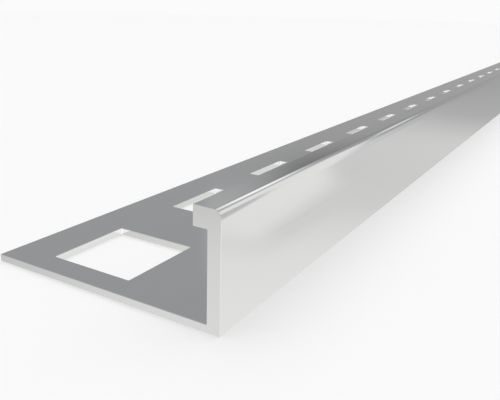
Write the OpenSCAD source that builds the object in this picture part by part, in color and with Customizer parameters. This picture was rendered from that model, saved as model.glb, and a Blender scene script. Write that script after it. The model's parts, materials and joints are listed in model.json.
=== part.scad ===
// Tile edge trim: an extruded aluminium angle with a punched anchoring leg
// and a thickened head, rounded along the edge that stays in view.
// X runs along the bar, the finished face looks along -Y and +Z is up.
// The origin is on the underside, at the middle of the bar's length and width.

/* [Bar] */
// Length of the bar
bar_length = 1000; // [300:10:3000]
// Height from the underside of the leg to the top of the head
profile_height = 11; // [6:0.5:20]

/* [Anchoring leg] */
// Width from the finished face to the tip of the leg
leg_width = 27; // [20:0.5:40]
// Thickness of the leg
leg_thickness = 0.75; // [0.5:0.05:1.5]

/* [Web and head] */
// Thickness of the upright web
web_thickness = 1.3; // [0.8:0.05:2]
// Width of the head across its top
head_width = 2.7; // [2.2:0.1:6]
// Height of the head, from the underside of its lip to its top
head_height = 1.85; // [1.2:0.05:3]
// Radius of the head's finished edge
head_radius = 0.65; // [0.3:0.05:1]
// Radius of the other extruded corners, inside and out
corner_radius = 0.08; // [0.05:0.01:0.2]

/* [Punched holes] */
// Side of one square hole
hole_side = 9.9; // [4:0.1:13]
// Radius in the corners of a hole
hole_corner_radius = 0.15; // [0.1:0.05:1.5]
// Distance from one hole to the next
hole_pitch = 19.5; // [14:0.5:40]
// Land from the holes to the tip of the leg
tip_land = 5; // [2:0.5:10]
// Land from the near end of the bar to the first hole
first_land = 2.7; // [1:0.1:15]
// Least land from the last hole to the far end of the bar
least_last_land = 2.5; // [1:0.1:15]

/* [Hidden] */

// How far a punch reaches past the faces that it cuts
punch_reach = 1;
$fn = 48;

near_end = -bar_length / 2;
finished_face = -leg_width / 2;
leg_tip = leg_width / 2;
web_back = finished_face + web_thickness;
lip_face = finished_face + head_width;
lip_underside = profile_height - head_height;
hole_back = leg_tip - tip_land;
hole_count = 1 + floor((bar_length - first_land - hole_side - least_last_land) / hole_pitch);

// The sliver between a square corner and the arc that rounds it.
// way points from the corner to the arc's centre, as a pair of signs.
module corner_sliver(corner, radius, way) {
    difference() {
        translate(corner + radius * [min(way.x, 0), min(way.y, 0)])
            square(radius);
        translate(corner + radius * way)
            circle(radius);
    }
}

// The leg, web and head with square corners
module square_section() {
    translate([finished_face, 0])
        square([leg_width, leg_thickness]);
    translate([finished_face, 0])
        square([web_thickness, profile_height]);
    translate([finished_face, lip_underside])
        square([head_width, head_height]);
}

// The section as extruded, across the bar and up, with its corners rounded
module section() {
    difference() {
        union() {
            square_section();
            corner_sliver([web_back, leg_thickness], corner_radius, [1, 1]);
            corner_sliver([web_back, lip_underside], corner_radius, [1, -1]);
        }
        corner_sliver([finished_face, profile_height], head_radius, [1, -1]);
        corner_sliver([lip_face, profile_height], corner_radius, [-1, -1]);
        corner_sliver([lip_face, lip_underside], corner_radius, [-1, 1]);
        corner_sliver([leg_tip, leg_thickness], corner_radius, [-1, -1]);
        corner_sliver([leg_tip, 0], corner_radius, [-1, 1]);
        corner_sliver([finished_face, 0], corner_radius, [1, 1]);
    }
}

// The outline of one hole, from its near and front corner
module hole_outline() {
    difference() {
        square(hole_side);
        for (side_x = [0, 1], side_y = [0, 1]) {
            inwards = [1 - 2 * side_x, 1 - 2 * side_y];
            corner_sliver(hole_side * [side_x, side_y], hole_corner_radius, inwards);
        }
    }
}

// The row of punches that cuts the anchoring leg
module punch_row() {
    for (i = [0 : hole_count - 1])
        translate([near_end + first_land + i * hole_pitch, hole_back - hole_side, -punch_reach])
            linear_extrude(leg_thickness + 2 * punch_reach)
                hole_outline();
}

// The whole bar, extruded in one piece and punched
module trim_profile() {
    color("silver")
        difference() {
            translate([near_end, 0, 0])
                rotate([90, 0, 90])
                    linear_extrude(bar_length)
                        section();
            punch_row();
        }
}

trim_profile();
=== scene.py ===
"""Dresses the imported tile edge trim: the punched and sawn bar, its finishes, and a studio to show it in.

The file is laid out as an add-on and is run as a script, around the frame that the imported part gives.
"""

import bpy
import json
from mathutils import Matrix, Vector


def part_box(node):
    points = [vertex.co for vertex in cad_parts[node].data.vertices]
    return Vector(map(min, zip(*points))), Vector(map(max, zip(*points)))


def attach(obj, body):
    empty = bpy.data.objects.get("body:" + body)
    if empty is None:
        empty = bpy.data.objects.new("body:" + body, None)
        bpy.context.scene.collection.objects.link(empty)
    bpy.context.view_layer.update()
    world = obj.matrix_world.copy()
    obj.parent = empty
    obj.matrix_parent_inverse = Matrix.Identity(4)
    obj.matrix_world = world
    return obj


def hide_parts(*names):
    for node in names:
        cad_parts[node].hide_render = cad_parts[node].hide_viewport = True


bl_info = {
    "name": "Tile edge trim",
    "version": (1, 0, 0),
    "blender": (4, 5, 0),
    "location": "View3D > Sidebar > Tile trim",
    "description": "Models a punched aluminium tile edge trim and sets a studio round it",
    "category": "Object",
}

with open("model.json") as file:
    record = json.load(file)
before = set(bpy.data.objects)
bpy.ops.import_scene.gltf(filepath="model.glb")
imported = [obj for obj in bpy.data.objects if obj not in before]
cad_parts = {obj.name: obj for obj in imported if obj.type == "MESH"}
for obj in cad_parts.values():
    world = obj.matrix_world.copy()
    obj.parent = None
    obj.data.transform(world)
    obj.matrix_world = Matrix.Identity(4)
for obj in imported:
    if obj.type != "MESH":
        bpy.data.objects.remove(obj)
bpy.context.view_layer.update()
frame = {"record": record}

import json
import math
from typing import NamedTuple

import bmesh
import bpy
from bpy.props import FloatProperty, FloatVectorProperty, PointerProperty
from mathutils import Matrix, Vector

# The imported part's node and body, and where its faces are
NODE = "trim_profile"
BODY = "root"
LOW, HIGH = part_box(NODE)
SIZE = HIGH - LOW
MOUNTS = {mount["name"]: Vector(mount["pos_m"]) for mount in frame["record"]["mounts"]}

# The bar is modelled in millimetres, because bevels lose the finest edges at the scale of metres
MILLIMETRES = 1000.0
# How near a point has to be to a line of the section to count as on it, in millimetres
NEAR = 0.002
# The least part of a face's normal along an axis for the face to look that way
FACING = 0.9
# The most that a face's normal rises for the face to stand upright
UPRIGHT = 0.5
# Faces that meet at less than this angle are one flat face
FLAT_ANGLE = math.radians(1)
QUARTER_TURN = math.radians(90)

# How finely the round edges are divided
HEAD_SEGMENTS = 20
CORNER_SEGMENTS = 4
HOLE_CORNER_SEGMENTS = 6
ROLLED_EDGE_SEGMENTS = 4
SAWN_EDGE_SEGMENTS = 2
CROWN_STRIPS = 8
SHOULDER_STRIPS = 8
# The bevel tool's setting for a true arc
ARC_PROFILE = 0.5
# Edges that turn by less than this are shaded smoothly
SMOOTH_ANGLE = math.radians(32)

# Grains to the metre along, across and up the bar
DIE_LINES = (12, 5000, 5000)
ANODISED_BANDS = (8, 400, 400)
SHEARED_STREAKS = (9000, 9000, 600)
BROKEN_GRAINS = (9000, 9000, 9000)
BREAK_WANDER = (2500, 2500, 0)
# The part of a noise's range that nearly all its values are in
NOISE_RANGE = (0.3, 0.7)
# Half the height of the soft line where a hole's sheared band ends, and how far it wanders, in metres
BREAK_BLUR = 0.00004
# The saw blade's centre as it leaves the cut, and the distance between rings of the wave texture at scale one
BLADE_CENTRE = (0, 0.06, -0.1)
RING_PERIOD = math.pi / 10

# The angle through which the shoulder under the head's round turns
SHOULDER_TURN = math.radians(20)
# The share of the crown's fall that is a plain slope
CROWN_SLOPE = 0.9
# The strips beside the round are a little wider than it needs, and those beside the lip's corner too
ROUND_CLEARANCE = 1.05
CORNER_CLEARANCE = 2


class TrimSizes(bpy.types.PropertyGroup):
    """Sizes of the bar, in metres."""

    bar_length: FloatProperty(
        name="Bar length", description="Length of the bar", default=SIZE.x, unit="LENGTH"
    )
    profile_height: FloatProperty(
        name="Height", description="From the underside to the top of the head", default=SIZE.z, unit="LENGTH"
    )
    leg_width: FloatProperty(
        name="Leg width",
        description="From the finished face to the tip of the leg",
        default=SIZE.y,
        unit="LENGTH",
    )
    leg_thickness: FloatProperty(
        name="Leg thickness",
        description="Thickness of the anchoring leg",
        default=MOUNTS["tile_bed"].z - LOW.z,
        unit="LENGTH",
    )
    web_thickness: FloatProperty(
        name="Web thickness", description="Thickness of the upright web", default=0.0013, unit="LENGTH"
    )
    head_width: FloatProperty(
        name="Head width",
        description="Width of the head across its top",
        default=MOUNTS["tile_stop"].y - LOW.y,
        unit="LENGTH",
    )
    head_height: FloatProperty(
        name="Head height",
        description="From the underside of the lip to the top of the head",
        default=2 * (HIGH.z - MOUNTS["tile_stop"].z),
        unit="LENGTH",
    )
    head_radius: FloatProperty(
        name="Head radius", description="Radius of the head's finished edge", default=0.00065, unit="LENGTH"
    )
    shoulder_radius: FloatProperty(
        name="Shoulder radius",
        description="Radius that eases the round of the finished edge into the finished face",
        default=0.0018,
        unit="LENGTH",
    )
    head_crown: FloatProperty(
        name="Head crown",
        description="How far the head's top falls from the lip to the finished edge",
        default=0.00004,
        unit="LENGTH",
    )
    corner_radius: FloatProperty(
        name="Corner radius",
        description="Radius of the other extruded corners",
        default=0.00008,
        unit="LENGTH",
    )
    hole_side: FloatProperty(
        name="Hole side", description="Side of one square hole", default=0.0099, unit="LENGTH"
    )
    hole_corner_radius: FloatProperty(
        name="Hole corner radius",
        description="Radius in the corners of a hole",
        default=0.00015,
        unit="LENGTH",
    )
    hole_pitch: FloatProperty(
        name="Hole pitch", description="Distance from one hole to the next", default=0.0195, unit="LENGTH"
    )
    tip_land: FloatProperty(
        name="Tip land", description="Land from the holes to the tip of the leg", default=0.005, unit="LENGTH"
    )
    first_land: FloatProperty(
        name="First land",
        description="Land from the near end of the bar to the first hole",
        default=0.0027,
        unit="LENGTH",
    )
    least_last_land: FloatProperty(
        name="Least last land",
        description="Least land from the last hole to the far end of the bar",
        default=0.0025,
        unit="LENGTH",
    )
    rolled_edge: FloatProperty(
        name="Rolled edge",
        description="Radius of the edge that the punch rolls over as it enters",
        default=0.00004,
        unit="LENGTH",
    )
    sheared_depth: FloatProperty(
        name="Sheared depth",
        description="Depth of the straight band that the punch shears before the metal breaks",
        default=0.0003,
        unit="LENGTH",
    )
    break_out: FloatProperty(
        name="Break-out",
        description="How much wider the hole is on each side where the metal broke away",
        default=0.00001,
        unit="LENGTH",
    )
    sawn_edge: FloatProperty(
        name="Sawn edge",
        description="Width of the broken edge round a sawn end",
        default=0.00004,
        unit="LENGTH",
    )


class TrimFinish(bpy.types.PropertyGroup):
    """Colours and gloss of the bar's finishes."""

    drawn_colour: FloatVectorProperty(
        name="Drawn colour",
        description="Colour of the extruded and anodised faces",
        default=(0.79, 0.795, 0.795),
        subtype="COLOR",
        min=0,
        max=1,
    )
    sawn_colour: FloatVectorProperty(
        name="Sawn colour",
        description="Colour of the bare metal at the sawn ends",
        default=(0.73, 0.732, 0.735),
        subtype="COLOR",
        min=0,
        max=1,
    )
    punched_colour: FloatVectorProperty(
        name="Punched colour",
        description="Colour of the bare metal in the punched holes",
        default=(0.74, 0.74, 0.735),
        subtype="COLOR",
        min=0,
        max=1,
    )
    drawn_roughness: FloatProperty(
        name="Drawn roughness",
        description="Roughness of the extruded and anodised faces",
        default=0.08,
        subtype="FACTOR",
        min=0,
        max=1,
    )
    sawn_roughness: FloatProperty(
        name="Sawn roughness",
        description="Roughness of the sawn ends",
        default=0.14,
        subtype="FACTOR",
        min=0,
        max=1,
    )
    sheared_roughness: FloatProperty(
        name="Sheared roughness",
        description="Roughness of the band that the punch sheared",
        default=0.1,
        subtype="FACTOR",
        min=0,
        max=1,
    )
    broken_roughness: FloatProperty(
        name="Broken roughness",
        description="Roughness of the wall below, where the metal broke",
        default=0.15,
        subtype="FACTOR",
        min=0,
        max=1,
    )
    gloss_drift: FloatProperty(
        name="Gloss drift",
        description="How far the roughness wanders to each side",
        default=0.02,
        subtype="FACTOR",
        min=0,
        max=0.1,
    )
    colour_drift: FloatProperty(
        name="Colour drift",
        description="Share by which a colour wanders to each side",
        default=0.008,
        subtype="FACTOR",
        min=0,
        max=0.1,
    )
    die_line_height: FloatProperty(
        name="Die line height", description="Height of the extrusion's die lines", default=2e-7, unit="LENGTH"
    )
    saw_mark_height: FloatProperty(
        name="Saw mark height", description="Height of the arcs on a sawn end", default=2e-7, unit="LENGTH"
    )
    saw_mark_spacing: FloatProperty(
        name="Saw mark spacing",
        description="From one arc on a sawn end to the next",
        default=0.0003,
        unit="LENGTH",
    )
    punched_relief: FloatProperty(
        name="Punched relief",
        description="Height of the streaks and grain in the holes",
        default=1e-7,
        unit="LENGTH",
    )


class TrimStage(bpy.types.PropertyGroup):
    """Settings of the floor and the camera."""

    floor_colour: FloatVectorProperty(
        name="Floor colour",
        description="Colour of the floor and of the sweep behind it",
        default=(0.928, 0.92, 0.912),
        subtype="COLOR",
        min=0,
        max=1,
    )
    camera_beyond: FloatProperty(
        name="Camera beyond",
        description="How far the camera stands beyond the near end of the bar",
        default=0.0360462,
        unit="LENGTH",
    )
    camera_aside: FloatProperty(
        name="Camera aside",
        description="How far the camera stands in front of the finished face",
        default=0.0234631,
        unit="LENGTH",
    )
    camera_height: FloatProperty(
        name="Camera height",
        description="Height of the camera above the floor",
        default=0.0259731,
        unit="LENGTH",
    )
    camera_turn: FloatProperty(
        name="Camera turn",
        description="How far the camera turns from the bar's length towards the leg",
        default=math.radians(30.2231),
        unit="ROTATION",
    )
    camera_tilt: FloatProperty(
        name="Camera tilt",
        description="How far the camera tilts down",
        default=math.radians(18.1620),
        unit="ROTATION",
    )
    camera_roll: FloatProperty(
        name="Camera roll",
        description="How far the camera leans",
        default=math.radians(1.7830),
        unit="ROTATION",
    )
    camera_lens: FloatProperty(
        name="Camera lens", description="Focal length in millimetres", default=43.173, unit="CAMERA"
    )


class BarPlan:
    """The bar's sizes in millimetres, and the places that follow from them."""

    def __init__(self, sizes):
        for name in TrimSizes.__annotations__:
            setattr(self, name, getattr(sizes, name) * MILLIMETRES)
        low = LOW * MILLIMETRES
        self.near_end = low.x
        self.far_end = low.x + self.bar_length
        self.finished_face = low.y
        self.leg_tip = low.y + self.leg_width
        self.web_back = low.y + self.web_thickness
        self.lip_face = low.y + self.head_width
        self.lip_underside = self.profile_height - self.head_height
        self.hole_back = self.leg_tip - self.tip_land
        self.hole_front = self.hole_back - self.hole_side
        self.hole_near = self.near_end + self.first_land
        self.hole_far = self.hole_near + self.hole_side
        # One pitch of the bar has its hole in the middle, and the first pitch begins before the near end
        self.pitch_start = self.hole_near - (self.hole_pitch - self.hole_side) / 2
        self.pitch_stop = self.pitch_start + self.hole_pitch
        punched_length = self.bar_length - self.first_land - self.hole_side - self.least_last_land
        self.hole_count = 1 + math.floor(punched_length / self.hole_pitch)
        self.last_pitch_stop = self.pitch_start + self.hole_count * self.hole_pitch
        # The round of the finished edge joins a strip of the head's top to a strip that leans on the shoulder
        strip = ROUND_CLEARANCE * self.head_radius * math.tan((QUARTER_TURN - SHOULDER_TURN) / 2)
        self.shoulder_top = self.profile_height - strip * math.cos(SHOULDER_TURN)
        self.shoulder_foot = self.shoulder_top - self.shoulder_radius * math.sin(SHOULDER_TURN)
        self.head_edge = self.finished_face + self.face_lean(self.profile_height)
        self.first_cut = self.head_edge + strip
        fall = self.crown_fall(self.head_edge) - self.crown_fall(self.first_cut)
        self.crown_tilt = math.atan2(fall, strip)

    def face_lean(self, up):
        """How far the finished face has leant back at a height."""
        rise = min(max(up - self.shoulder_foot, 0), self.shoulder_top - self.shoulder_foot)
        lean = self.shoulder_radius - math.sqrt(self.shoulder_radius**2 - rise**2)
        return lean + max(up - self.shoulder_top, 0) * math.tan(SHOULDER_TURN)

    def crown_fall(self, across):
        """How far the head's top has fallen at a place across it."""
        share = (self.lip_face - across) / self.head_width
        return self.head_crown * share * (CROWN_SLOPE + (1 - CROWN_SLOPE) * share)


def near(value, place):
    """Whether a coordinate is on a line of the section."""
    return abs(value - place) < NEAR


def select_only(piece):
    """Make a piece the one selected and active object."""
    bpy.ops.object.select_all(action="DESELECT")
    piece.select_set(True)
    bpy.context.view_layer.objects.active = piece


def start_editing(piece):
    """Open one piece in edit mode with nothing selected."""
    select_only(piece)
    bpy.ops.object.mode_set(mode="EDIT")
    bpy.ops.mesh.select_all(action="DESELECT")


def stop_editing():
    """Go back to object mode."""
    bpy.ops.object.mode_set(mode="OBJECT")


def pick(piece, kind, wanted):
    """Select just the faces, edges or vertices of the edited piece that the test wants."""
    bpy.ops.mesh.select_mode(type=kind)
    bpy.ops.mesh.select_all(action="DESELECT")
    mesh = bmesh.from_edit_mesh(piece.data)
    parts = {"FACE": mesh.faces, "EDGE": mesh.edges, "VERT": mesh.verts}[kind]
    chosen = [part for part in parts if wanted(part)]
    if not chosen:
        raise RuntimeError(f"{piece.name}: nothing to select for this step")
    for part in chosen:
        part.select_set(True)
    bmesh.update_edit_mesh(piece.data)


def pick_faces(piece, wanted):
    """Select the faces whose centre and normal the test wants."""
    pick(piece, "FACE", lambda face: wanted(face.calc_center_median(), face.normal))


def pick_edges(piece, wanted):
    """Select the edges both of whose ends the test wants."""
    pick(piece, "EDGE", lambda edge: all(wanted(end.co) for end in edge.verts))


def pick_points(piece, wanted):
    """Select the vertices that the test wants."""
    pick(piece, "VERT", lambda point: wanted(point.co))


def extrude_faces(piece, wanted, by):
    """Pull out the faces that the test wants."""
    pick_faces(piece, wanted)
    bpy.ops.mesh.extrude_region_move(TRANSFORM_OT_translate={"value": by})


def round_edges(radius, segments):
    """Round the selected edges to a true arc."""
    bpy.ops.mesh.bevel(
        offset_type="OFFSET",
        offset=radius,
        segments=segments,
        profile=ARC_PROFILE,
        affect="EDGES",
        clamp_overlap=False,
    )


def add_block(name, low, high):
    """Add a cube, stretched between two corners, with its place in its mesh."""
    low, high = Vector(low), Vector(high)
    bpy.ops.object.select_all(action="DESELECT")
    bpy.ops.mesh.primitive_cube_add(size=1, location=(low + high) / 2, scale=high - low)
    bpy.ops.object.transform_apply(location=True, rotation=True, scale=True)
    block = bpy.context.object
    block.name = name
    block.data.name = name
    return block


def apply_modifier(piece, name, kind, **settings):
    """Add a modifier with these settings and apply it."""
    modifier = piece.modifiers.new(name, kind)
    for key, value in settings.items():
        setattr(modifier, key, value)
    select_only(piece)
    bpy.ops.object.modifier_apply(modifier=modifier.name)


def pull_section(plan):
    """One pitch of the bar with square corners, pulled out from the foot of the web."""
    bar = add_block(
        "trim_bar",
        (plan.pitch_start, plan.finished_face, 0),
        (plan.pitch_stop, plan.web_back, plan.leg_thickness),
    )
    start_editing(bar)
    extrude_faces(
        bar,
        lambda centre, normal: normal.y > FACING,
        (0, plan.leg_tip - plan.web_back, 0),
    )
    extrude_faces(
        bar,
        lambda centre, normal: normal.z > FACING and centre.y < plan.web_back,
        (0, 0, plan.lip_underside - plan.leg_thickness),
    )
    extrude_faces(
        bar,
        lambda centre, normal: normal.z > FACING and centre.y < plan.web_back,
        (0, 0, plan.head_height),
    )
    extrude_faces(
        bar,
        lambda centre, normal: normal.y > FACING and centre.z > plan.lip_underside,
        (0, plan.lip_face - plan.web_back, 0),
    )
    bpy.ops.mesh.select_all(action="SELECT")
    bpy.ops.mesh.dissolve_limited(angle_limit=FLAT_ANGLE)
    stop_editing()
    return bar


def lean_finished_face(bar, plan):
    """Divide the top of the finished face along the bar and lean it back, as the shoulder under the round."""
    start_editing(bar)
    step = (plan.shoulder_top - plan.shoulder_foot) / SHOULDER_STRIPS
    cuts = [plan.shoulder_foot + step * i for i in range(SHOULDER_STRIPS + 1)]
    for up in cuts:
        pick_faces(bar, lambda centre, normal: normal.y < -FACING and near(centre.y, plan.finished_face))
        bpy.ops.mesh.bisect(plane_co=(0, 0, up), plane_no=(0, 0, 1))
    for up in (*cuts[1:], plan.profile_height):
        pick_points(bar, lambda place: near(place.y, plan.finished_face) and near(place.z, up))
        bpy.ops.transform.translate(value=(0, plan.face_lean(up), 0))
    stop_editing()


def crown_head(bar, plan):
    """Divide the flat of the head's top along the bar and let it fall a little towards the finished edge."""
    start_editing(bar)
    last_cut = plan.lip_face - CORNER_CLEARANCE * plan.corner_radius
    step = (last_cut - plan.first_cut) / CROWN_STRIPS
    cuts = [plan.first_cut + step * i for i in range(CROWN_STRIPS + 1)]
    for across in cuts:
        pick_faces(bar, lambda centre, normal: normal.z > FACING and near(centre.z, plan.profile_height))
        bpy.ops.mesh.bisect(plane_co=(0, across, 0), plane_no=(0, 1, 0))
    for across in (plan.head_edge, *cuts):
        pick_points(bar, lambda place: near(place.y, across) and near(place.z, plan.profile_height))
        bpy.ops.transform.translate(value=(0, 0, -plan.crown_fall(across)))
    stop_editing()


def round_finished_edge(bar, plan):
    """Round the head's finished edge, from the slope of the crown to that of the shoulder."""
    start_editing(bar)
    edge_height = plan.profile_height - plan.crown_fall(plan.head_edge)
    pick_edges(bar, lambda place: near(place.y, plan.head_edge) and near(place.z, edge_height))
    turn = QUARTER_TURN - SHOULDER_TURN - plan.crown_tilt
    round_edges(plan.head_radius * math.tan(turn / 2), HEAD_SEGMENTS)
    stop_editing()


def break_long_corners(bar, plan):
    """Break the other corners of the extrusion."""
    start_editing(bar)
    corners = (
        (plan.lip_face, plan.profile_height),
        (plan.lip_face, plan.lip_underside),
        (plan.web_back, plan.lip_underside),
        (plan.web_back, plan.leg_thickness),
        (plan.leg_tip, plan.leg_thickness),
        (plan.leg_tip, 0),
        (plan.finished_face, 0),
    )
    for across, up in corners:
        pick_edges(bar, lambda place: near(place.y, across) and near(place.z, up))
        round_edges(plan.corner_radius, CORNER_SEGMENTS)
    stop_editing()


def make_punch(plan):
    """The shape that one stroke of the punch takes away: straight above, wider where the metal broke."""
    reach = plan.leg_thickness
    punch = add_block(
        "punch",
        (plan.hole_near, plan.hole_front, -reach),
        (plan.hole_far, plan.hole_back, plan.leg_thickness + reach),
    )
    start_editing(punch)
    pick(punch, "EDGE", lambda edge: abs(edge.verts[0].co.z - edge.verts[1].co.z) > reach)
    round_edges(plan.hole_corner_radius, HOLE_CORNER_SEGMENTS)
    break_height = plan.leg_thickness - plan.sheared_depth
    bpy.ops.mesh.select_all(action="SELECT")
    bpy.ops.mesh.bisect(plane_co=(0, 0, break_height), plane_no=(0, 0, 1))
    spread = plan.break_out * (break_height + reach) / break_height
    widening = 1 + 2 * spread / plan.hole_side
    pick_points(punch, lambda place: near(place.z, -reach))
    bpy.ops.transform.resize(
        value=(widening, widening, 1),
        center_override=((plan.hole_near + plan.hole_far) / 2, (plan.hole_front + plan.hole_back) / 2, 0),
    )
    stop_editing()
    return punch


def punch_hole(bar, plan):
    """Punch one hole through the leg and roll its upper edge over."""
    punch = make_punch(plan)
    apply_modifier(bar, "punch", "BOOLEAN", operation="DIFFERENCE", solver="EXACT", object=punch)
    bpy.data.objects.remove(punch)
    start_editing(bar)
    pick_edges(
        bar,
        lambda place: near(place.z, plan.leg_thickness)
        and plan.hole_near - NEAR < place.x < plan.hole_far + NEAR
        and plan.hole_front - NEAR < place.y < plan.hole_back + NEAR,
    )
    round_edges(plan.rolled_edge, ROLLED_EDGE_SEGMENTS)
    stop_editing()


def repeat_along_bar(bar, plan):
    """Open the two ends of the one pitch, repeat it, welded, for each hole, and pull out the plain end."""
    start_editing(bar)
    pick_faces(
        bar,
        lambda centre, normal: near(centre.x, plan.pitch_start) or near(centre.x, plan.pitch_stop),
    )
    bpy.ops.mesh.delete(type="FACE")
    stop_editing()
    apply_modifier(
        bar,
        "pitches",
        "ARRAY",
        count=plan.hole_count,
        use_relative_offset=False,
        use_constant_offset=True,
        constant_offset_displace=(plan.hole_pitch, 0, 0),
        use_merge_vertices=True,
        merge_threshold=NEAR,
    )
    start_editing(bar)
    pick_edges(bar, lambda place: near(place.x, plan.last_pitch_stop))
    bpy.ops.mesh.extrude_region_move(TRANSFORM_OT_translate={"value": (plan.hole_pitch, 0, 0)})
    stop_editing()


def saw_ends(bar, plan):
    """Saw the punched stock to length and break the sawn edges."""
    start_editing(bar)
    for end, way in ((plan.near_end, -1), (plan.far_end, 1)):
        bpy.ops.mesh.select_all(action="SELECT")
        bpy.ops.mesh.bisect(plane_co=(end, 0, 0), plane_no=(way, 0, 0), clear_outer=True, use_fill=True)
        pick_edges(bar, lambda place: near(place.x, end))
        round_edges(plan.sawn_edge, SAWN_EDGE_SEGMENTS)
    stop_editing()


def bring_to_metres(bar):
    """Scale the bar from millimetres to the frame's metres, about the frame's origin."""
    bar.scale = (1 / MILLIMETRES,) * 3
    select_only(bar)
    bpy.ops.object.transform_apply(location=True, rotation=True, scale=True)


def add_node(tree, kind, values=None, **settings):
    """Add one node to a tree, with its settings and the values of its sockets."""
    node = tree.nodes.new(kind)
    for key, value in settings.items():
        setattr(node, key, value)
    for socket, value in (values or {}).items():
        node.inputs[socket].default_value = value
    return node


def start_metal(name):
    """A metal's material, its nodes, its shader and the place on the part that they go by."""
    material = bpy.data.materials.new(name)
    material.use_nodes = True
    tree = material.node_tree
    shader = tree.nodes["Principled BSDF"]
    shader.inputs["Metallic"].default_value = 1.0
    return material, tree, shader, add_node(tree, "ShaderNodeTexCoord").outputs["Object"]


def add_grain(tree, place, grains, detail):
    """Noise with so many grains to the metre along each axis."""
    scale = add_node(tree, "ShaderNodeMapping", {"Scale": grains})
    noise = add_node(tree, "ShaderNodeTexNoise", {"Scale": 1.0, "Detail": detail})
    tree.links.new(place, scale.inputs["Vector"])
    tree.links.new(scale.outputs["Vector"], noise.inputs["Vector"])
    return add_range(tree, noise.outputs["Fac"], *NOISE_RANGE, 0.0, 1.0)


def add_range(tree, value, low, high, to_low, to_high, **settings):
    """Bring a value from one range to another, and hold it there."""
    limits = {"From Min": low, "From Max": high, "To Min": to_low, "To Max": to_high}
    node = add_node(tree, "ShaderNodeMapRange", limits, **settings)
    tree.links.new(value, node.inputs["Value"])
    return node.outputs["Result"]


def add_mix(tree, share, low, high, **settings):
    """Mix two values or colours, each a constant or another node's output."""
    mix = add_node(tree, "ShaderNodeMix", **settings)
    tree.links.new(share, mix.inputs["Factor"])
    for socket, value in (("A", low), ("B", high)):
        if isinstance(value, bpy.types.NodeSocket):
            tree.links.new(value, mix.inputs[socket])
        else:
            mix.inputs[socket].default_value = value
    return mix.outputs["Result"]


def add_drift(tree, shader, share, colour, drift):
    """Let a colour drift a little to both sides."""
    darker, lighter = ((*(channel * (1 + way * drift) for channel in colour), 1) for way in (-1, 1))
    tree.links.new(add_mix(tree, share, darker, lighter, data_type="RGBA"), shader.inputs["Base Color"])


def add_gloss(tree, shader, share, roughness, drift):
    """Let the roughness drift a little to both sides."""
    gloss = add_range(tree, share, 0, 1, roughness - drift, roughness + drift)
    tree.links.new(gloss, shader.inputs["Roughness"])


def add_relief(tree, shader, value, height):
    """Raise the surface by a value, up to a height in metres."""
    bump = add_node(tree, "ShaderNodeBump", {"Strength": 1.0, "Distance": height})
    tree.links.new(value, bump.inputs["Height"])
    tree.links.new(bump.outputs["Normal"], shader.inputs["Normal"])


def drawn_aluminium(finish):
    """Anodised extrusion: fine die lines along the bar, and a satin gloss and tone that wander a little."""
    material, tree, shader, place = start_metal("drawn_aluminium")
    lines = add_grain(tree, place, DIE_LINES, detail=3)
    bands = add_grain(tree, place, ANODISED_BANDS, detail=2)
    add_gloss(tree, shader, lines, finish.drawn_roughness, finish.gloss_drift)
    add_drift(tree, shader, bands, finish.drawn_colour, finish.colour_drift)
    add_relief(tree, shader, lines, finish.die_line_height)
    return material


def sawn_aluminium(finish):
    """Sawn ends: faint arcs that the teeth of the blade left."""
    material, tree, shader, place = start_metal("sawn_aluminium")
    blade = add_node(tree, "ShaderNodeMapping", {"Location": [-distance for distance in BLADE_CENTRE]})
    marks = {"Scale": RING_PERIOD / finish.saw_mark_spacing, "Distortion": 2.0, "Detail": 2.0}
    arcs = add_node(tree, "ShaderNodeTexWave", marks, wave_type="RINGS", rings_direction="X")
    tree.links.new(place, blade.inputs["Vector"])
    tree.links.new(blade.outputs["Vector"], arcs.inputs["Vector"])
    add_gloss(tree, shader, arcs.outputs["Fac"], finish.sawn_roughness, finish.gloss_drift)
    add_drift(tree, shader, arcs.outputs["Fac"], finish.sawn_colour, finish.colour_drift)
    add_relief(tree, shader, arcs.outputs["Fac"], finish.saw_mark_height)
    return material


def punched_aluminium(finish, plan):
    """Punched walls: a bright sheared band with upright streaks, over the grainy break below it."""
    material, tree, shader, place = start_metal("punched_aluminium")
    split = add_node(tree, "ShaderNodeSeparateXYZ")
    tree.links.new(place, split.inputs["Vector"])
    break_line = (plan.leg_thickness - plan.sheared_depth) / MILLIMETRES
    wander = add_grain(tree, place, BREAK_WANDER, detail=2)
    edge = add_node(tree, "ShaderNodeMath", operation="ADD")
    tree.links.new(split.outputs["Z"], edge.inputs[0])
    tree.links.new(add_range(tree, wander, 0, 1, -BREAK_BLUR, BREAK_BLUR), edge.inputs[1])
    sheared = add_range(tree, edge.outputs["Value"], break_line - BREAK_BLUR, break_line + BREAK_BLUR, 0, 1)
    surface = add_mix(
        tree,
        sheared,
        add_grain(tree, place, BROKEN_GRAINS, detail=3),
        add_grain(tree, place, SHEARED_STREAKS, detail=2),
        data_type="FLOAT",
    )
    rough, smooth = finish.broken_roughness, finish.sheared_roughness
    tree.links.new(add_range(tree, sheared, 0, 1, rough, smooth), shader.inputs["Roughness"])
    add_drift(tree, shader, surface, finish.punched_colour, finish.colour_drift)
    add_relief(tree, shader, surface, finish.punched_relief)
    return material


def give_finish(bar, material, wanted):
    """Give the faces that the test wants a finish of their own."""
    bar.data.materials.append(material)
    start_editing(bar)
    pick_faces(bar, wanted)
    bar.active_material_index = len(bar.data.materials) - 1
    bpy.ops.object.material_slot_assign()
    stop_editing()


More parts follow.
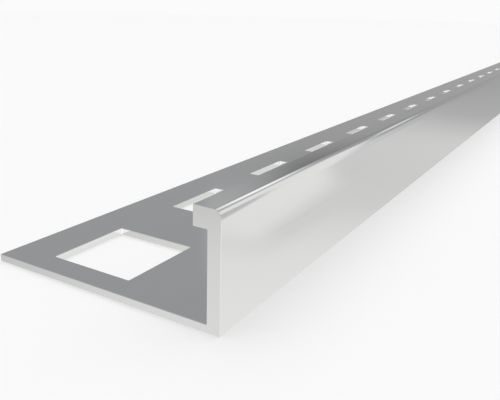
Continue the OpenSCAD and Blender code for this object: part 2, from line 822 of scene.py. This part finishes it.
def finish_bar(bar, plan, finish):
    """Give the bar's faces their finishes."""
    bar.data.materials.append(drawn_aluminium(finish))
    give_finish(
        bar,
        sawn_aluminium(finish),
        lambda centre, normal: near(centre.x, plan.near_end) or near(centre.x, plan.far_end),
    )
    # The holes are wider at the foot of the break
    front = plan.hole_front - 2 * plan.break_out
    back = plan.hole_back + 2 * plan.break_out
    give_finish(
        bar,
        punched_aluminium(finish, plan),
        lambda centre, normal: abs(normal.z) < UPRIGHT
        and front < centre.y < back
        and not near(centre.x, plan.near_end)
        and not near(centre.x, plan.far_end),
    )


def smooth_bar(bar):
    """Shade the arcs smoothly while the flat faces stay flat."""
    select_only(bar)
    bpy.ops.object.shade_smooth_by_angle(angle=SMOOTH_ANGLE)
    apply_modifier(bar, "flat faces", "WEIGHTED_NORMAL", mode="FACE_AREA", weight=100, keep_sharp=True)


class TRIM_OT_add_bar(bpy.types.Operator):
    """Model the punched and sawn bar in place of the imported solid"""

    bl_idname = "trim.add_bar"
    bl_label = "Add bar"

    def execute(self, context):
        plan = BarPlan(context.scene.trim_sizes)
        bar = pull_section(plan)
        lean_finished_face(bar, plan)
        crown_head(bar, plan)
        round_finished_edge(bar, plan)
        break_long_corners(bar, plan)
        punch_hole(bar, plan)
        repeat_along_bar(bar, plan)
        saw_ends(bar, plan)
        finish_bar(bar, plan, context.scene.trim_finish)
        bring_to_metres(bar)
        smooth_bar(bar)
        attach(bar, BODY)
        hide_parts(NODE)
        return {"FINISHED"}


# Slight casts of the surround's tones
NEUTRAL = (1, 1, 1)
COOL = (0.985, 1, 1.025)
WARM = (1, 1, 0.98)


class Card(NamedTuple):
    """A soft-edged card of one tone in the surround, with its angles in degrees, as the bar sees them.

    Its place is an azimuth and an elevation, its size a width and a height, and its blur that of its sides
    and that of its ends.
    """

    place: tuple
    size: tuple
    blur: tuple
    tone: float
    lean: float = 0
    cast: tuple = NEUTRAL


# The surround's plain tones and casts, by elevation in degrees: a pale floor, grey walls, a lighter ceiling
SURROUND_TONES = (
    (-90, 0.95, WARM),
    (-30, 0.935, WARM),
    (-23, 0.885, WARM),
    (-20, 0.81, WARM),
    (-18, 0.73, WARM),
    (-15, 0.70, WARM),
    (-12, 0.715, WARM),
    (-11, 0.68, WARM),
    (-9, 0.475, NEUTRAL),
    (-6, 0.40, NEUTRAL),
    (12, 0.375, NEUTRAL),
    (18, 0.365, COOL),
    (30, 0.36, COOL),
    (38, 0.50, COOL),
    (55, 0.75, COOL),
)
# The cards that the metal mirrors, each laid over those before it
CARDS = (
    # A wide glow low on the right, and the wall over it
    Card(place=(-57, -6.2), size=(80, 15.6), blur=(6, 7), tone=0.71),
    Card(place=(-61, 0.5), size=(59.5, 17), blur=(2, 2.5), tone=0.60),
    # A tall pale panel that leans, and the ceiling beside it
    Card(place=(-26.3, 20.8), size=(21.7, 28.9), blur=(1.5, 2), tone=0.91, lean=-28.8, cast=WARM),
    Card(place=(-6.8, 36), size=(9, 22), blur=(2.5, 2.5), tone=0.53),
    # The lower half of the panel, and its slanted foot
    Card(place=(-30.4, -7.5), size=(9, 28), blur=(1.7, 2.5), tone=0.92, lean=-14, cast=WARM),
    Card(place=(-28, -5), size=(7.6, 23.4), blur=(2, 2), tone=0.92, lean=5, cast=WARM),
    Card(place=(-28.6, -16.6), size=(10.3, 8), blur=(1.5, 1), tone=0.92, lean=42, cast=WARM),
    # Two thin bands of shade at the panel's foot
    Card(place=(-25.1, -19.9), size=(8.5, 1.6), blur=(2.5, 1), tone=0.73, lean=35, cast=WARM),
    Card(place=(-31, -22.5), size=(6, 1.2), blur=(2.5, 0.9), tone=0.82, lean=3, cast=WARM),
    # A bright softbox high over the far end, and a narrow light below it
    Card(place=(8.2, 33.1), size=(18.5, 8.8), blur=(3.5, 3.5), tone=1.13, lean=-16),
    Card(place=(-7.5, 18.1), size=(9.5, 3.4), blur=(4, 0.6), tone=0.93, lean=19),
    # On the left, a grey patch of wall, and a dark one with a darker middle
    Card(place=(31.5, 21.5), size=(5.4, 7), blur=(1, 3), tone=0.465),
    Card(place=(18, 17.3), size=(16, 9.7), blur=(6, 1.1), tone=0.28, lean=14),
    Card(place=(22.6, 16.2), size=(6.5, 3.6), blur=(2.5, 0.9), tone=0.185, lean=14),
    # Low lights, one on the right and two behind the near end
    Card(place=(-50, -22), size=(16, 12), blur=(4, 4), tone=1.03),
    Card(place=(122, -22), size=(24, 8), blur=(8, 4), tone=0.72),
    Card(place=(-146, -16), size=(60, 30), blur=(4, 4), tone=1.65),
)

# The floor's disc and the sweep at its rim, in metres, with the floor just clear of the bar's underside
FLOOR_RADIUS = 3.0
FLOOR_SIDES = 96
FLOOR_GAP = 0.00002
SWEEP_RADIUS = 1.0
SWEEP_STEPS = 8
FLOOR_ROUGHNESS = 0.9
# The white that the camera sees in the floor
WHITE_TONE = 0.965
# Its share near the bar, and the distances over which it grows to the whole, in metres
WHITE_NEAR = 0.4
WHITE_FROM = 0.62
WHITE_TO = 1.1

# The lamp overhead, in metres, and the tone of its light
LAMP_PLACE = (-0.2, 0, 2.2)
LAMP_AIM = (-0.2, 0, 0)
LAMP_WIDTH = 4.6
LAMP_LENGTH = 4.0
LAMP_TONE = 0.78

# The camera's sensor in millimetres, and the nearest and furthest that it sees in metres
SENSOR_WIDTH = 36
NEAREST_SEEN = 0.001
FURTHEST_SEEN = 100


def cast_tone(tone, cast):
    """A grey with a slight cast, as a colour."""
    return (*(tone * channel for channel in cast), 1)


def pale_floor(stage):
    """Matt paint that takes the bar's shadow, and that the camera sees turn to plain white further out."""
    material = bpy.data.materials.new("pale_floor")
    material.use_nodes = True
    tree = material.node_tree
    paint = tree.nodes["Principled BSDF"]
    paint.inputs["Base Color"].default_value = (*stage.floor_colour, 1)
    paint.inputs["Roughness"].default_value = FLOOR_ROUGHNESS
    paint.inputs["Specular IOR Level"].default_value = 0.0
    white = add_node(tree, "ShaderNodeEmission", {"Color": cast_tone(WHITE_TONE, NEUTRAL)})
    place = add_node(tree, "ShaderNodeTexCoord")
    distance = add_node(tree, "ShaderNodeVectorMath", operation="LENGTH")
    tree.links.new(place.outputs["Object"], distance.inputs[0])
    share = add_range(
        tree,
        distance.outputs["Value"],
        WHITE_FROM,
        WHITE_TO,
        WHITE_NEAR,
        1.0,
        interpolation_type="SMOOTHSTEP",
    )
    path = add_node(tree, "ShaderNodeLightPath")
    seen = add_node(tree, "ShaderNodeMath", operation="MULTIPLY")
    tree.links.new(share, seen.inputs[0])
    tree.links.new(path.outputs["Is Camera Ray"], seen.inputs[1])
    mix = add_node(tree, "ShaderNodeMixShader")
    tree.links.new(seen.outputs["Value"], mix.inputs["Fac"])
    tree.links.new(paint.outputs["BSDF"], mix.inputs[1])
    tree.links.new(white.outputs["Emission"], mix.inputs[2])
    tree.links.new(mix.outputs["Shader"], tree.nodes["Material Output"].inputs["Surface"])
    return material


def add_floor(stage):
    """A pale round floor that sweeps up at its rim."""
    bpy.ops.object.select_all(action="DESELECT")
    bpy.ops.mesh.primitive_circle_add(
        vertices=FLOOR_SIDES, radius=FLOOR_RADIUS, fill_type="NGON", location=(0, 0, -FLOOR_GAP)
    )
    floor = bpy.context.object
    floor.name = "floor"
    bpy.ops.object.transform_apply(location=True)
    start_editing(floor)
    for step in range(SWEEP_STEPS):
        before = QUARTER_TURN * step / SWEEP_STEPS
        after = QUARTER_TURN * (step + 1) / SWEEP_STEPS
        rise = SWEEP_RADIUS * (math.cos(before) - math.cos(after))
        inner, outer = (FLOOR_RADIUS + SWEEP_RADIUS * math.sin(angle) for angle in (before, after))
        growth = outer / inner
        pick(floor, "EDGE", lambda edge: edge.is_boundary)
        bpy.ops.mesh.extrude_region_move(TRANSFORM_OT_translate={"value": (0, 0, rise)})
        bpy.ops.transform.resize(value=(growth, growth, 1), center_override=(0, 0, 0))
    stop_editing()
    select_only(floor)
    bpy.ops.object.shade_smooth()
    floor.data.materials.append(pale_floor(stage))
    # The metal mirrors the floor of the surround instead
    floor.visible_glossy = False


def soft_limit(tree, direction, axis, half_angle, blur):
    """One within an angle of the plane that an axis stands on, and zero beyond it, with a soft edge."""
    along = add_node(tree, "ShaderNodeVectorMath", {1: axis}, operation="DOT_PRODUCT")
    size = add_node(tree, "ShaderNodeMath", operation="ABSOLUTE")
    tree.links.new(direction, along.inputs[0])
    tree.links.new(along.outputs["Value"], size.inputs[0])
    inner, outer = (math.sin(math.radians(half_angle + way * blur)) for way in (-1, 1))
    return add_range(tree, size.outputs["Value"], inner, outer, 1, 0, interpolation_type="SMOOTHSTEP")


def add_card(tree, direction, below, card):
    """Lay one card over the surround's colour so far, and give the colour with it."""
    azimuth, elevation = card.place
    turn = Matrix.Rotation(math.radians(azimuth), 3, "Z")
    tilt = Matrix.Rotation(math.radians(-elevation), 3, "Y")
    lean = Matrix.Rotation(math.radians(card.lean), 3, "X")
    ahead, across, up = (turn @ tilt @ lean).col
    facing = add_node(tree, "ShaderNodeVectorMath", {1: ahead}, operation="DOT_PRODUCT")
    in_front = add_node(tree, "ShaderNodeMath", {1: 0.0}, operation="GREATER_THAN")
    tree.links.new(direction, facing.inputs[0])
    tree.links.new(facing.outputs["Value"], in_front.inputs[0])
    share = in_front.outputs["Value"]
    for axis, size, blur in zip((across, up), card.size, card.blur):
        both = add_node(tree, "ShaderNodeMath", operation="MULTIPLY")
        tree.links.new(share, both.inputs[0])
        tree.links.new(soft_limit(tree, direction, axis, size / 2, blur), both.inputs[1])
        share = both.outputs["Value"]
    return add_mix(tree, share, below, cast_tone(card.tone, card.cast), data_type="RGBA")


def set_world():
    """The studio's floor, walls and cards, as the metal mirrors them."""
    world = bpy.data.worlds.new("studio")
    bpy.context.scene.world = world
    world.use_nodes = True
    tree = world.node_tree
    direction = add_node(tree, "ShaderNodeTexCoord").outputs["Generated"]
    split = add_node(tree, "ShaderNodeSeparateXYZ")
    tree.links.new(direction, split.inputs["Vector"])
    tones = add_node(tree, "ShaderNodeValToRGB")
    tree.links.new(add_range(tree, split.outputs["Z"], -1, 1, 0, 1), tones.inputs["Fac"])
    ramp = tones.color_ramp
    while len(ramp.elements) < len(SURROUND_TONES):
        ramp.elements.new(1.0)
    for stop, (elevation, tone, cast) in zip(ramp.elements, SURROUND_TONES):
        stop.position = (math.sin(math.radians(elevation)) + 1) / 2
        stop.color = cast_tone(tone, cast)
    colour = tones.outputs["Color"]
    for card in CARDS:
        colour = add_card(tree, direction, colour, card)
    tree.links.new(colour, tree.nodes["Background"].inputs["Color"])


def add_lamp():
    """A wide soft lamp overhead, which the camera and the metal don't see."""
    lamp = bpy.data.lights.new("overhead", "AREA")
    lamp.shape = "RECTANGLE"
    lamp.size = LAMP_WIDTH
    lamp.size_y = LAMP_LENGTH
    lamp.energy = LAMP_TONE * math.pi * LAMP_WIDTH * LAMP_LENGTH
    softbox = bpy.data.objects.new("overhead", lamp)
    bpy.context.scene.collection.objects.link(softbox)
    aim = (Vector(LAMP_AIM) - Vector(LAMP_PLACE)).to_track_quat("-Z", "Y")
    softbox.matrix_world = Matrix.Translation(LAMP_PLACE) @ aim.to_matrix().to_4x4()
    softbox.visible_camera = False
    softbox.visible_glossy = False


def add_camera(stage):
    """The camera, beside the near end of the bar."""
    lens = bpy.data.cameras.new("camera")
    lens.lens = stage.camera_lens
    lens.sensor_width = SENSOR_WIDTH
    lens.clip_start = NEAREST_SEEN
    lens.clip_end = FURTHEST_SEEN
    camera = bpy.data.objects.new("camera", lens)
    bpy.context.scene.collection.objects.link(camera)
    place = Vector((LOW.x - stage.camera_beyond, LOW.y - stage.camera_aside, LOW.z + stage.camera_height))
    camera.matrix_world = (
        Matrix.Translation(place)
        @ Matrix.Rotation(stage.camera_turn - QUARTER_TURN, 4, "Z")
        @ Matrix.Rotation(QUARTER_TURN - stage.camera_tilt, 4, "X")
        @ Matrix.Rotation(stage.camera_roll, 4, "Z")
    )
    bpy.context.scene.camera = camera


class TRIM_OT_set_stage(bpy.types.Operator):
    """Set the floor, the light and the camera"""

    bl_idname = "trim.set_stage"
    bl_label = "Set stage"

    def execute(self, context):
        stage = context.scene.trim_stage
        context.scene.view_settings.view_transform = "Standard"
        add_floor(stage)
        set_world()
        add_lamp()
        add_camera(stage)
        return {"FINISHED"}


class VIEW3D_PT_trim(bpy.types.Panel):
    """Sizes, finishes and stage of the tile edge trim"""

    bl_label = "Tile trim"
    bl_space_type = "VIEW_3D"
    bl_region_type = "UI"
    bl_category = "Tile trim"

    def draw(self, context):
        scene = context.scene
        for title, settings in (
            ("Sizes", scene.trim_sizes),
            ("Finish", scene.trim_finish),
            ("Stage", scene.trim_stage),
        ):
            box = self.layout.box()
            box.label(text=title)
            for name in type(settings).__annotations__:
                box.prop(settings, name)
        self.layout.operator(TRIM_OT_add_bar.bl_idname)
        self.layout.operator(TRIM_OT_set_stage.bl_idname)


CLASSES = (TrimSizes, TrimFinish, TrimStage, TRIM_OT_add_bar, TRIM_OT_set_stage, VIEW3D_PT_trim)


def register():
    """Register the classes and hang their settings on the scene."""
    for cls in CLASSES:
        bpy.utils.register_class(cls)
    bpy.types.Scene.trim_sizes = PointerProperty(type=TrimSizes)
    bpy.types.Scene.trim_finish = PointerProperty(type=TrimFinish)
    bpy.types.Scene.trim_stage = PointerProperty(type=TrimStage)


def unregister():
    """Take the settings off the scene and unregister the classes."""
    del bpy.types.Scene.trim_stage
    del bpy.types.Scene.trim_finish
    del bpy.types.Scene.trim_sizes
    for cls in reversed(CLASSES):
        bpy.utils.unregister_class(cls)


def main():
    """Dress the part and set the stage."""
    register()
    bpy.ops.trim.add_bar()
    bpy.ops.trim.set_stage()


if __name__ == "__main__":
    main()
